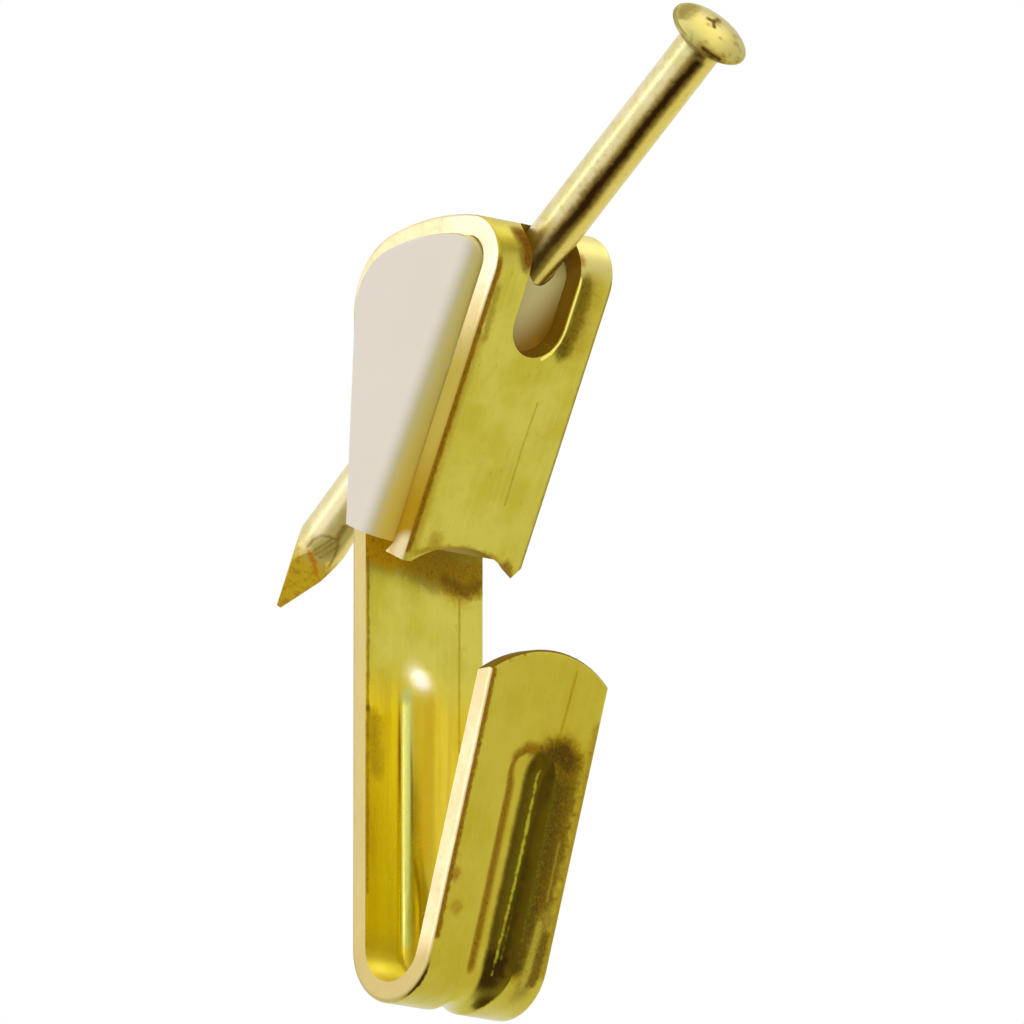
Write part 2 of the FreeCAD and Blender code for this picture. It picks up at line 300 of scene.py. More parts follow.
def cut_edge(s):
    """The share, colour and dullness of the sheared long edges, which are paler than the faces, partly as
    paler metal and partly as a painted highlight.
    """
    pale, worn = (0.90, 0.74, 0.44), (0.80, 0.66, 0.36)
    pit = (0.78, 0.52, 0.27)
    plate_tan = (0.55, 0.43, 0.16)
    fold_cream = (0.95, 0.88, 0.66)
    lip_tan = (0.74, 0.56, 0.27)
    flap_gold = (0.56, 0.43, 0.06)
    flap_edge_shade = (0.46, 0.26, 0.002)
    tip_cream = (0.93, 0.80, 0.48)
    outermost = s.ramp(s.math("ABSOLUTE", s.x), HALF_WIDTH - 0.35, HALF_WIDTH - 0.2)
    sideways = s.ramp(s.math("ABSOLUTE", s.facing_x), 0.55, 0.8)
    wear = s.noise((1.2, 1.2, 1.2), detail=3.0, shift=(4.0, 0, 0))
    pits = s.noise((4.0, 4.0, 4.0), detail=4.0, roughness=0.65, shift=(0, 6.0, 1.0))
    on_plate = s.product(s.fall(s.out, 1.2, 2.2), s.fall(s.z, 3.5, 5.0))
    on_bend = s.fall(s.z, -24.6, -23.2)
    on_fold = s.product(s.ramp(s.out, 5.5, 7.5), s.ramp(s.z, 3.0, 5.5))
    on_lip = s.product(s.ramp(s.out, 6.5, 8.0), s.ramp(s.z, -16.0, -13.0), s.fall(s.z, -9.0, -8.0))
    on_flap = s.product(s.ramp(s.out, 2.0, 3.0), s.ramp(s.z, -8.0, -7.0))
    colour = s.mix(s.ramp(wear, 0.4, 0.7), pale, worn)
    colour = s.paint(colour, 0.6, s.ramp(pits, 0.50, 0.72), pit)
    colour = s.paint(colour, 0.9, s.math("MAXIMUM", on_plate, on_bend), plate_tan)
    colour = s.paint(colour, 0.8, on_fold, fold_cream)
    colour = s.paint(colour, 0.6, on_lip, lip_tan)
    colour, dull = s.lay(colour, 0.0, [
        # Painted shade and reflection on the flap's edge beside the guide's cheek: gold higher up and brown
        # lower down.
        (s.product(on_flap, s.fall(s.z, 0.5, 4.5)), 0.95, flap_gold),
        (s.product(on_flap, s.fall(s.z, -5.0, -1.5)), 0.9, flap_edge_shade),
        *s.draw([Mark(path(FLAP, (-HALF_WIDTH, 12.6)), 0.5, 1.1, 0.9, tip_cream, 0.0)]),
    ])
    return s.product(outermost, sideways), colour, dull


def flap_marks():
    """Marks on the flap: painted dark reflections along its rolled edges, painted shade beside the slot, and
    stains and lines near the slot and at its end.
    """
    smudge = (0.34, 0.22, 0.004)
    slot_side_shade = (0.15, 0.095, 0.001)
    beside_slot = path(FLAP, (1.80, -0.2), (1.90, 0.5), (1.95, 1.5), (1.70, 2.7))
    end = path(FLAP, (-2.7, 12.5), (-1.6, 12.15), (0.0, 12.0), (1.5, 12.15), (2.3, 12.5))
    return [
        # Painted dark reflection along the flap's rolled left edge, with an ochre halo.
        Mark(path(FLAP, (-3.1, 3.0), (-3.1, 12.4)), 0.05, 0.60, 0.45, OCHRE, 0.3),
        Mark(path(FLAP, (-3.23, -1.2), (-3.22, 12.4)), 0.08, 0.28, 0.95, BROWN, 0.16),
        Mark(path(FLAP, (-2.95, 0.6), (-2.75, 2.8)), 0.02, 0.36, 0.5, smudge, 0.35),
        # Painted dark reflection along the flap's rolled right edge.
        Mark(path(FLAP, (3.30, -1.0), (3.30, 12.4)), 0.04, 0.24, 0.7, BROWN, 0.08),
        Mark(path(FLAP, (1.24, 5.2), (1.18, 7.4), (1.25, 9.8)), 0.0, 0.09, 0.3, BROWN, 0.08),
        # Painted shade beside the slot, right of its rim.
        Mark(beside_slot, 0.10, 0.75, 0.9, slot_side_shade, 0.4),
        Mark(path(FLAP, (2.3, -0.3), (2.4, 2.4)), 0.10, 0.95, 0.35, OCHRE, 0.5),
        Mark(end, 0.0, 0.26, 0.6, OCHRE, 0.3),
        Mark(path(FLAP, (2.35, 12.4), (2.85, 13.0)), 0.08, 0.40, 0.7, BROWN, 0.3),
        Mark(path(FLAP, (-1.9, 11.9)), 0.05, 0.70, 0.55, OCHRE, 0.5),
    ]


def fold_marks():
    """Reddish-brown and copper marks on the front fold, on both sides of the slot."""
    reddish_brown = (0.24, 0.085, 0.001)
    copper = (0.50, 0.20, 0.002)
    left = [at(-1.70, 9.0, 6.5), at(-1.50, 9.2, 6.0), at(-1.55, 9.32, 5.3)]
    right = [at(1.43, 8.5, 6.4), at(1.50, 9.15, 5.7)]
    return [Mark(left, 0.15, 0.75, 0.95, reddish_brown, 0.4), Mark(right, 0.08, 0.40, 0.75, copper, 0.25)]


def lip_marks():
    """Marks on the lip: a painted dark reflection along its rolled left edge and ochre along its right,
    painted shade round the groove's rim, painted dark reflection with some oxide down the groove's right
    side, dark marks at the groove's top end, stains low on the right, and four spots.
    """
    groove_rim_shade = (0.36, 0.18, 0.001)
    dark_reflection_and_oxide = (0.085, 0.055, 0.001)
    umber = (0.19, 0.105, 0.001)
    dark_umber = (0.17, 0.09, 0.001)
    olive = (0.17, 0.14, 0.003)
    olive_tan = (0.42, 0.32, 0.03)
    tan = (0.50, 0.39, 0.03)
    pale_gold = (0.60, 0.50, 0.05)
    groove_rim = path(LIP, (0.26, 9.25), (-0.40, 9.25), (-0.90, 8.8))
    groove_rim += path(GROOVE_SIDE, (-0.55, 7.6), (-0.48, 3.0), (-0.52, -0.3))
    groove_end = path(LIP, (0.9, 9.2), (1.5, 9.4), (1.95, 9.0))
    return [
        # Painted dark reflection along the lip's rolled left edge.
        Mark(path(LIP, (-3.24, 12.3), (-3.22, 0.8)), 0.06, 0.25, 0.9, BROWN, 0.3),
        Mark(path(LIP, (3.28, 10.5), (3.26, 0.0)), 0.10, 0.60, 0.6, OCHRE, 0.4),
        Mark(path(LIP, (1.35, 12.8), (1.17, 10.0)), 0.0, 0.13, 0.5, OCHRE, 0.05),
        # Painted shade round the groove's left rim.
        Mark(groove_rim, 0.08, 0.48, 0.9, groove_rim_shade, 0.1),
        # These four lines: painted dark reflection, with some oxide, down the groove's right side.
        Mark(path(LIP, (1.65, 9.0), (1.75, 4.0), (1.55, 0.3)), 0.50, 1.30, 0.75, OCHRE, 0.5),
        Mark(path(LIP, (1.60, 8.7), (1.60, 4.0), (1.45, 0.3)), 0.40, 1.00, 0.9, dark_reflection_and_oxide, 0.4),
        Mark(path(LIP, (2.30, 9.0), (2.40, 5.0), (2.25, 0.8)), 0.15, 0.80, 0.8, umber, 0.8),
        Mark(path(LIP, (1.32, 8.6), (1.47, 6.4), (1.57, 3.8), (1.43, 1.1)), 0.05, 0.34, 0.7, olive, 0.25),
        Mark(groove_end, 0.20, 1.25, 0.6, OCHRE, 0.6),
        Mark(groove_end, 0.15, 0.90, 0.9, DARK_BROWN, 0.5),
        Mark(path(LIP, (2.60, 2.2), (2.2, -1.4)), 0.15, 0.75, 0.7, olive_tan, 0.3),
        Mark(path(LIP, (2.78, 1.4), (2.62, -0.6)), 0.10, 0.42, 0.8, dark_umber, 0.3),
        Mark(path(LIP, (2.42, 5.5), (2.43, 3.0)), 0.0, 0.13, 0.55, tan, 0.1),
        Mark(path(LIP, (2.31, 1.9), (2.14, -1.0)), 0.05, 0.28, 0.75, pale_gold, 0.2),
        Mark(path(LIP, (-2.95, 3.5)), 0.12, 0.48, 0.55, BROWN, 0.4),
        Mark(path(LIP, (-2.45, 2.1)), 0.12, 0.55, 0.5, OCHRE, 0.4),
        Mark(path(LIP, (-2.47, 12.9)), 0.0, 0.16, 0.7, DARK_BROWN, 0.1),
        Mark(path(LIP, (-1.71, 13.2)), 0.0, 0.14, 0.7, DARK_BROWN, 0.1),
    ]


def plate_marks():
    """Marks on the plate: painted shade and a painted golden reflection below the flap, and stains along its
    left edge and beside the rib.
    """
    under_flap_shade = (0.52, 0.28, 0.001)
    under_flap_reflection = (0.80, 0.45, 0.002)
    umber = (0.16, 0.075, 0.001)
    ginger = (0.46, 0.26, 0.001)
    below_flap = path(PLATE, (-3.1, 5.7), (-1.0, 6.0), (1.0, 6.5), (2.2, 6.9), (3.1, 6.5))
    return [
        # Painted shade below the flap, a painted golden reflection at its left end, and deeper painted shade
        # at its right.
        Mark(below_flap, 0.40, 1.25, 0.8, under_flap_shade, 0.9),
        Mark(path(PLATE, (-3.1, 5.9), (-1.9, 6.1)), 0.40, 1.20, 0.85, under_flap_reflection, 0.6),
        Mark(path(PLATE, (1.2, 6.9), (2.3, 7.3), (3.0, 6.9)), 0.05, 0.50, 0.6, umber, 0.5),
        Mark(path(PLATE, (-3.2, 6.5), (-3.22, 21.0)), 0.0, 0.13, 0.6, BROWN, 0.2),
        Mark(path(PLATE, (2.01, 7.5), (2.01, 14.3)), 0.0, 0.12, 0.5, OCHRE, 0.05),
        Mark(path(PLATE, (-2.9, 13.6), (-2.8, 15.6)), 0.10, 0.80, 0.5, ginger, 0.6),
        Mark(path(CREST, (-1.40, 11.05), (-1.02, 12.6)), 0.0, 0.16, 0.4, OCHRE, 0.05),
        Mark(path(PLATE, (-3.2, 13.06)), 0.02, 0.25, 0.7, DARK_BROWN, 0.1),
    ]


def groove_painted_reflections():
    """Streaks in the lip's dark groove: painted dark reflection with some oxide beside a painted bright
    toothed highlight, and lighter on the right.
    """
    black_brown = (0.055, 0.032, 0.001)
    black_reflection = (0.045, 0.020, 0.001)
    olive = (0.18, 0.14, 0.001)
    bright_gold = (0.58, 0.55, 0.03)
    dim_gold_highlight = (0.40, 0.36, 0.02)
    toothed = path(GROOVE, (0.95, 8.7), (0.76, 8.2), (0.80, 6.0), (0.80, 3.2), (0.66, -0.5))
    return [
        # Painted dark reflection, with some oxide, in the groove.
        Mark(path(GROOVE, (0.35, 8.6), (0.30, 0.0)), 0.05, 0.38, 0.55, black_brown, 0.3),
        Mark(path(GROOVE, (1.15, 4.5), (1.00, -0.4)), 0.10, 0.42, 0.75, black_brown, 0.4),
        Mark(path(GROOVE, (1.45, 8.0), (1.40, 4.5)), 0.10, 0.45, 0.6, olive, 0.4),
        Mark(path(GROOVE, (0.70, 0.1), (0.50, -0.9)), 0.20, 0.75, 0.9, black_reflection, 0.4),
        # Painted highlights: a bright toothed line and a dimmer line beside it.
        Mark(toothed, 0.0, 0.10, 0.95, bright_gold, 0.22),
        Mark(path(GROOVE, (1.00, 5.6), (1.00, 2.8), (0.94, 0.2)), 0.0, 0.10, 0.6, dim_gold_highlight, 0.16),
    ]


def painted_highlights_and_crest():
    """Painted highlights over the stains: the slot's rim and the rib's left flank and top, with an amber
    tint along the rib's crest.
    """
    bright_gold = (0.98, 0.88, 0.16)
    green_gold_highlight = (0.52, 0.55, 0.17)
    amber = (0.60, 0.36, 0.003)
    pale_gold = (0.92, 0.76, 0.33)
    cream = (1.0, 0.95, 0.78)
    slot_rim = path(FLAP, (1.47, -0.6), (1.47, 1.9), (1.37, 2.4), (1.10, 2.95), (0.70, 3.27))
    rib_crest = path(CREST, (-0.13, 12.6), (-0.31, 15.3), (-0.48, 19.4))
    rib_top = at(-0.53, 1.2, -11.3)
    return [
        # Painted highlights on the slot's rim and the rib's left flank.
        Mark(slot_rim, 0.04, 0.11, 0.95, bright_gold, 0.05),
        Mark([at(-1.16, 1.1, -12.2), at(-1.14, 1.1, -23.0)], 0.06, 0.36, 0.85, green_gold_highlight, 0.2),
        Mark(rib_crest, 0.02, 0.45, 0.6, amber, 0.6),
        # A painted highlight on the rib's top, pale gold round a cream core.
        Mark([rib_top, at(-0.50, 1.3, -11.5)], 0.05, 1.00, 0.9, pale_gold, 0.1),
        Mark([rib_top, at(-0.50, 1.3, -11.6)], 0.05, 0.60, 0.9, cream, 0.1),
    ]


def sheet_colour(s, streaks, clouds, specks):
    """The sheet's clouded olive, streaked by rolling, specked, and toned on both sides of the front fold."""
    olive, deep_olive = (0.585, 0.515, 0.072), (0.525, 0.445, 0.040)
    pale_streak = (0.68, 0.62, 0.17)
    brown_speck = (0.36, 0.25, 0.008)
    fold_left, fold_right = (0.42, 0.34, 0.03), (0.66, 0.57, 0.26)
    fold = front_fold(s)
    colour = s.mix(s.ramp(clouds, 0.36, 0.66), olive, deep_olive)
    colour = s.paint(colour, 0.18, s.ramp(streaks, 0.45, 0.75), pale_streak)
    colour = s.paint(colour, 0.55, s.ramp(specks, 0.57, 0.78), brown_speck)
    colour = s.paint(colour, 0.55, s.product(fold, s.fall(s.x, -1.4, -0.8)), fold_left)
    return s.paint(colour, 0.55, s.product(fold, s.ramp(s.x, 0.8, 1.4)), fold_right)


def golden_inside_hook(s, streaky_mottle):
    """The share and colour of the golden tint on the plate inside the hook, brighter low down and darker on
    the rib.
    """
    gold, deep_gold = (0.80, 0.58, 0.002), (0.68, 0.45, 0.001)
    bright_gold = (0.92, 0.74, 0.006)
    rib_amber = (0.50, 0.33, 0.002)
    beside_rib = s.product(s.fall(s.z, -21.0, -17.0), s.fall(s.x, -1.5, -1.2))
    on_rib = s.product(s.ramp(s.x, -1.2, -0.95), s.fall(s.x, -0.2, 0.3))
    colour = s.mix(s.ramp(streaky_mottle, 0.4, 0.62), gold, deep_gold)
    colour = s.paint(colour, 0.6, beside_rib, bright_gold)
    colour = s.paint(colour, 0.85, on_rib, rib_amber)
    share = s.product(
        s.fall(s.out, 1.8, 2.8),
        s.fall(s.z, -13.5, -10.5),
        s.fall(s.facing_y, -0.2, 0.2),
        s.ramp(s.x, -1.5, -1.2, 1.0, 0.75),
        s.ramp(s.z, -24.2, -22.0, 0.5, 1.0),
    )
    return share, colour


def grained(s, colour, dull):
    """A marked colour with fine grain, dark and light, as strong as its stains and painted shade are dull.
    """
    dark, light = (0.07, 0.035, 0.001), (0.48, 0.36, 0.02)
    grain = s.noise((9.0, 7.0, 7.0), detail=3.0, roughness=0.7, shift=(1.0, 4.0, 8.0))
    colour = s.paint(colour, 0.5, s.product(dull, s.ramp(grain, 0.50, 0.66)), dark)
    return s.paint(colour, 0.2, s.product(dull, s.fall(grain, 0.36, 0.48)), light)


def painted_dark_groove(s, specks, streaky_mottle):
    """The lip's groove as layers: its painted dark reflection with some oxide, ragged at the edge, and the
    painted reflections in it.
    """
    dark_reflection_and_oxide, deep_dark_reflection_and_oxide = (0.140, 0.092, 0.001), (0.085, 0.050, 0.001)
    ragged = s.total(s.facing_x, s.sway(specks, 0.12))
    groove = s.product(
        outer_side(s),
        s.ramp(s.out, 2.6, 3.4),
        s.fall(s.z, -13.0, -12.0),
        s.ramp(s.z, -25.8, -24.9),
        s.fall(s.math("ABSOLUTE", s.x), 1.75, 2.0),
        s.fall(ragged, -0.20, -0.02),
    )
    tint = s.mix(s.ramp(streaky_mottle, 0.42, 0.60), dark_reflection_and_oxide, deep_dark_reflection_and_oxide)
    return [(groove, 0.9, tint), *s.draw(groove_painted_reflections(), groove)]


def cut_ends(s):
    """Painted shade and dark reflection on the sheet's cut ends, as layers: the slot's walls, the lip's end
    and the flap's end.
    """
    slot_left_shade, slot_right_shade = (0.44, 0.33, 0.02), (0.25, 0.115, 0.002)
    end_shade = (0.17, 0.09, 0.003)
    across = s.math("ABSOLUTE", s.x)
    slot_sides = s.product(
        s.ramp(across, 1.1, 1.2),
        s.fall(across, 1.5, 1.6),
        s.ramp(s.z, 0.0, 1.5),
        s.ramp(s.math("ABSOLUTE", s.facing_x), 0.5, 0.8),
    )
    slot_end = s.product(
        s.fall(across, 1.42, 1.46),
        s.ramp(s.z, 4.0, 4.5),
        s.ramp(s.out, 4.0, 5.0),
        s.fall(s.facing_z, 0.1, 0.4),
    )
    lip_end = s.product(
        s.ramp(s.z, -13.2, -12.8),
        s.fall(s.z, -10.5, -10.0),
        s.ramp(s.out, 6.5, 7.0),
        s.ramp(s.facing_z, 0.25, 0.45),
    )
    flap_end = s.product(
        s.fall(s.z, -5.2, -5.0),
        s.ramp(s.z, -7.4, -7.2),
        s.ramp(s.out, 1.6, 1.9),
        s.ramp(s.facing_y, -0.75, -0.60),
    )
    slot_wall_shade = s.mix(s.ramp(s.x, -0.6, 0.2), slot_left_shade, slot_right_shade)
    # Painted shade on the slot's walls, lighter on the left wall, and on the lip's and flap's ends.
    return [
        (s.math("MAXIMUM", slot_sides, slot_end), 0.9, slot_wall_shade),
        (s.math("MAXIMUM", lip_end, flap_end), 0.9, end_shade),
    ]


def strip_normal(s):
    """The strip's normal, softened on the rib's top and right side, the groove's left side and the crest."""
    straight_out = (0.0, -1.0, 0.0)
    off_lip = (0.0, -0.948, -0.317)
    up_and_out = (0.2, -0.8, 0.56)
    on_plate = s.product(
        s.fall(s.out, 1.7, 2.0),
        s.fall(s.z, -9.8, -9.2),
        s.ramp(s.z, -23.5, -22.0),
        s.fall(s.facing_y, -0.3, -0.1),
    )
    top_or_side = s.math("MAXIMUM", s.ramp(s.z, -12.8, -11.8), s.ramp(s.facing_x, -0.40, -0.10))
    groove_side = s.product(
        outer_side(s),
        s.ramp(s.out, 3.0, 3.8),
        s.fall(s.z, -12.5, -12.0),
        s.ramp(s.facing_x, 0.02, 0.12),
        s.fall(s.x, -0.2, 0.0),
    )
    rib_crest = s.product(on_plate, s.ramp(s.x, -1.10, -0.90), s.ramp(s.z, -22.0, -18.5))
    normal = s.turn(s.product(on_plate, top_or_side, 0.65), straight_out, s.normal)
    normal = s.turn(s.product(groove_side, 0.8), off_lip, normal)
    return s.turn(s.product(rib_crest, 0.35), up_and_out, normal)


def strip_brass():
    """Rolled sheet brass: satin olive faces, clouded and stained, with painted shade, dark reflections and
    highlights, and paler sheared edges.
    """
    s = Surface("strip_brass")
    lip_brown = (0.45, 0.33, 0.01)
    streaks = s.noise((6.0, 0.25, 0.25), detail=3.0)
    clouds = s.noise((0.45, 0.45, 0.45), detail=4.0)
    specks = s.noise((4.0, 2.0, 2.0), detail=5.0, roughness=0.7, shift=(2.0, 9.0, 5.0))
    streaky_mottle = s.noise((1.6, 0.3, 0.16), detail=4.0, shift=(1.0, 0, 3.0))
    face = sheet_colour(s, streaks, clouds, specks)
    face = s.paint(face, 0.9, *golden_inside_hook(s, streaky_mottle))
    lip_front = s.product(outer_side(s), s.ramp(s.out, 3.4, 4.2), s.fall(s.z, -12.0, -10.5))
    face = s.paint(face, 0.45, lip_front, lip_brown)
    outward = s.fall(s.facing_y, -0.05, 0.25)
    marks_and_painted_shade = flap_marks() + fold_marks() + lip_marks() + plate_marks()
    # Stains, with painted shade and dark reflections along the edges, beside the slot, round the groove and
    # under the flap.
    face, dull = s.lay(face, 0.0, s.draw(marks_and_painted_shade, outward))
    face = grained(s, face, dull)
    # Painted dark reflection in the groove, and painted shade on the cut ends.
    face, dull = s.lay(face, dull, painted_dark_groove(s, specks, streaky_mottle) + cut_ends(s))
    # Painted highlights on the slot's rim and the rib, and an amber tint on the rib's crest.
    face, dull = s.lay_bright(face, dull, s.draw(painted_highlights_and_crest()))
    edge, edge_colour, edge_dull = cut_edge(s)
    colour = s.mix(edge, face, edge_colour)
    dull = s.total(s.product(dull, s.rest(edge)), s.product(edge_dull, edge))
    throat = s.product(s.fall(s.z, -24.2, -21.8), s.ramp(s.facing_z, -0.2, 0.1))
    roughness = s.total(
        s.ramp(clouds, 0.3, 0.7, 0.20, 0.28),
        s.product(edge, 0.12),
        s.product(s.math("MAXIMUM", front_fold(s), throat), 0.2),
        s.product(dull, 0.3),
    )
    relief = s.total(s.product(streaks, 0.35), specks)
    return s.finish_brass(colour, dull, roughness, s.bump(relief, 0.004, strip_normal(s)))


def head_marks():
    """Stains and painted shade on the nail's head: dark at its lower rim, partly stain and partly painted
    shade, forked in its middle and dull at its upper rim.
    """
    rim_brown = (0.36, 0.18, 0.003)
    black_brown = (0.06, 0.022, 0.001)
    umber = (0.15, 0.062, 0.001)
    dull_brass = (0.27, 0.20, 0.02)
    return [
        # The lower rim's dark: partly stain and partly painted shade.
        Mark(on_head((-1.20, -1.20), (-0.80, -1.56), (-0.30, -1.72)), 0.05, 0.36, 0.6, rim_brown, 0.2),
        Mark(on_head((-1.13, -1.28), (-0.80, -1.56)), 0.04, 0.20, 0.95, black_brown, 0.1),
        Mark(on_head((-0.80, -1.56), (-0.42, -1.72)), 0.0, 0.16, 0.95, black_brown, 0.1),
        Mark(on_head((-0.22, 0.33), (-0.05, 0.18), (0.45, 0.48)), 0.01, 0.22, 0.9, umber, 0.2),
        Mark(on_head((-0.05, 0.18), (-0.20, -0.16)), 0.01, 0.17, 0.9, umber, 0.15),
        Mark(on_head((-1.30, 0.75), (-1.15, 0.94), (-0.40, 1.37)), 0.10, 0.70, 0.65, dull_brass, 0.8),
    ]


def point_marks():
    """Stains on the nail's point: two dull patches, a flat's outline, three scratches and a dark pinch."""
    dull_gold = (0.60, 0.52, 0.19)
    flat_gold = (0.44, 0.35, 0.07)
    outline_brown = (0.26, 0.14, 0.004)
    scratch_brown = (0.24, 0.15, 0.015)
    pinch_brown = (0.26, 0.12, 0.002)
    outline = on_nail(
        (-7.30, 59, 1.07), (-6.85, 58, 1.07), (-6.45, 49, 1.09), (-6.25, 33.5, 1.12),
        (-6.20, 15.5, 1.16), (-6.50, 4, 1.20), (-6.90, -1.5, 1.24), (-7.65, -7.5, 1.27),
    )
    scratches = (
        on_nail((-7.25, 41.5, 1.13), (-6.25, 26, 1.14)),
        on_nail((-7.35, 34, 1.12), (-6.30, 16.5, 1.16)),
        on_nail((-7.40, 22.5, 1.14), (-6.50, 5.5, 1.21)),
    )
    return [
        Mark(on_nail((-4.25, 18, 1.16), (-6.95, 20.5, 1.14)), 0.40, 0.80, 0.85, dull_gold, 0.2),
        Mark(on_nail((-7.10, 32, 1.12), (-6.65, 13, 1.12)), 0.20, 0.60, 0.65, flat_gold, 0.2),
        Mark(outline, 0.0, 0.13, 0.65, outline_brown, 0.12),
        *[Mark(scratch, 0.0, 0.10, 0.6, scratch_brown, 0.06) for scratch in scratches],
        Mark(on_nail((-5.50, 19, 1.11), (-6.10, 16, 1.15)), 0.03, 0.24, 0.7, pinch_brown, 0.15),
    ]


def shank_painted_reflection(s, along, grain):
    """The painted dark reflection under the shank as layers: a brown one and a darker core, which drift
    sideways.
    """
    under, aside = (-0.60, -0.47, -0.65), (0.802, -0.353, -0.485)
    stripe_brown = (0.38, 0.22, 0.002)
    stripe_core = (0.040, 0.014, 0.0005)
    slow = s.noise((0.22, 0.22, 0.22), detail=1.0, shift=(8.0, 1.0, 0.0))
    drift = s.total(s.sway(slow, 0.7), s.sway(grain, 0.25))
    off_middle = s.math("ABSOLUTE", s.total(s.vector("DOT_PRODUCT", s.normal, aside), drift))
    stripe = s.product(
        s.ramp(s.vector("DOT_PRODUCT", s.normal, under), 0.5, 0.7),
        s.ramp(along, 5.0, 7.0),
        s.ramp(along, 6.0, 14.0, 0.70, 1.0),
        s.fall(along, 22.5, 22.9),
    )
    # Painted dark reflection: brown, with a darker core.
    return [
        (s.product(stripe, s.fall(off_middle, 0.15, 0.54)), 0.6, stripe_brown),
        (s.product(stripe, s.fall(off_middle, 0.06, 0.38)), 1.0, stripe_core),
    ]


def nail_brass():
    """Bright plated wire, clouded, with a painted dark reflection as a stripe, a painted golden reflection
    underneath, a painted highlight down its left, a stained head with painted shade on its left, and a
    scratched golden point.
    """
    s = Surface("nail_brass")
    brass, deep_brass = (0.80, 0.70, 0.40), (0.70, 0.61, 0.27)
    underside_reflection_gold = (0.70, 0.55, 0.05)
    grain_brown = (0.46, 0.35, 0.05)
    head_brown, head_left_shade = (0.42, 0.35, 0.065), (0.34, 0.31, 0.11)
    dot_brown = (0.28, 0.20, 0.02)
    point_gold, point_brown = (0.68, 0.46, 0.001), (0.50, 0.27, 0.001)
    streak_copper = (0.66, 0.18, 0.001)
    highlight_cream = (0.95, 0.82, 0.50)
    below_in_front = (0.25, -0.55, -0.80)
    clouds = s.noise((0.8, 0.8, 0.8), detail=4.0)
    grain = s.noise((3.0, 3.0, 3.0), detail=4.0, roughness=0.65, shift=(5.0, 2.0, 0.0))
    dots = s.noise((1.7, 1.7, 1.7), detail=4.0, roughness=0.6, shift=(3.0, 0, 0))
    along = s.vector("DOT_PRODUCT", s.place, tuple(NAIL_ALONG))
    head = s.ramp(along, 22.6, 23.1)
    point = s.fall(along, -8.4, -7.0)
    under = s.ramp(s.vector("DOT_PRODUCT", s.normal, below_in_front), 0.15, 0.75)
    colour = s.mix(s.ramp(clouds, 0.3, 0.7), brass, deep_brass)
    # Painted golden reflection on the side that faces down and to the front.
    colour = s.paint(colour, 0.75, under, underside_reflection_gold)
    colour = s.paint(colour, 0.35, s.ramp(grain, 0.5, 0.7), grain_brown)
    colour = s.paint(colour, 0.85, head, head_brown)
    # Painted shade on the head's left side.
    colour = s.paint(colour, 0.7, s.product(head, s.fall(s.x, -1.5, -0.7)), head_left_shade)
    streak = on_nail((-7.45, 48, 1.11), (-7.80, 23.5, 1.02), (-8.35, -5, 1.13))
    colour, dull = s.lay(colour, 0.0, [
        *s.draw(head_marks() + point_marks()),
        # Painted dark reflection under the shank.
        *shank_painted_reflection(s, along, grain),
        (s.product(head, s.ramp(dots, 0.50, 0.72)), 0.7, dot_brown),
        (point, 0.9, s.mix(s.ramp(grain, 0.45, 0.65), point_gold, point_brown)),
        *s.draw([Mark(streak, 0.0, 0.19, 0.8, streak_copper, 0.3)]),
    ])
    # A painted highlight down the nail's left side.
    left_highlight = Mark(on_nail((-3.45, 71.5, 1.03), (-6.30, 71.5, 1.00)), 0.15, 0.65, 0.75, highlight_cream, 0.2)
    colour = s.paint(colour, left_highlight.strength, s.stroke(left_highlight), left_highlight.tint)
    roughness = s.total(s.ramp(head, 0.0, 1.0, 0.27, 0.36), s.product(dull, 0.3))
    relief = s.total(clouds, s.product(grain, 0.6))
    return s.finish_brass(colour, dull, roughness, s.bump(relief, 0.0035))


def guide_plastic():
    """Cream moulded plastic, with a painted olive and amber reflection of the brass, and shade, towards the
    brass it is gripped in, and straw turning to painted brown shade deeper in the slot.
    """
    s = Surface("guide_plastic")
    cream, deep_cream = (0.80, 0.735, 0.64), (0.76, 0.69, 0.60)
    olive = (0.52, 0.47, 0.20)
    pale_amber, amber = (0.60, 0.50, 0.10), (0.70, 0.50, 0.04)
    slot_straw, slot_shade_brown = (0.71, 0.63, 0.24), (0.36, 0.17, 0.004)
    clouds = s.noise((0.3, 0.3, 0.3), detail=2.0)
    sideways = s.math("ABSOLUTE", s.facing_x)
    forward = s.fall(s.facing_y, -0.20, 0.05)
    brass_reflection_share = s.product(s.fall(sideways, 0.72, 0.998), forward)
    front = s.product(s.fall(sideways, 0.50, 0.90), forward)
    in_slot = s.product(s.fall(sideways, 0.3, 0.5), s.fall(s.facing_y, -0.3, -0.1), s.ramp(s.z, 0.5, 1.0))
    slot_shade_share = s.fall(s.math("SUBTRACT", s.z, s.product(s.x, 0.9)), 1.6, 4.4)
    colour = s.mix(clouds, cream, deep_cream)
    # Painted reflection of the brass, with shade: olive where the sides turn forward and amber on the front.
    colour = s.paint(colour, 0.85, brass_reflection_share, olive)
    colour = s.paint(colour, 0.95, front, s.mix(s.fall(s.z, -4.5, 0.5), pale_amber, amber))
    # In the slot: straw, turning to painted brown shade lower down and to the right.
    colour = s.paint(colour, 0.95, in_slot, s.mix(slot_shade_share, slot_straw, slot_shade_brown))
    return s.finish(Base_Color=colour, Roughness=0.42, Normal=s.bump(clouds, 0.01))


def dress(node, material):
    """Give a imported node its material."""
    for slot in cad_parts[node].material_slots:
        slot.material = material


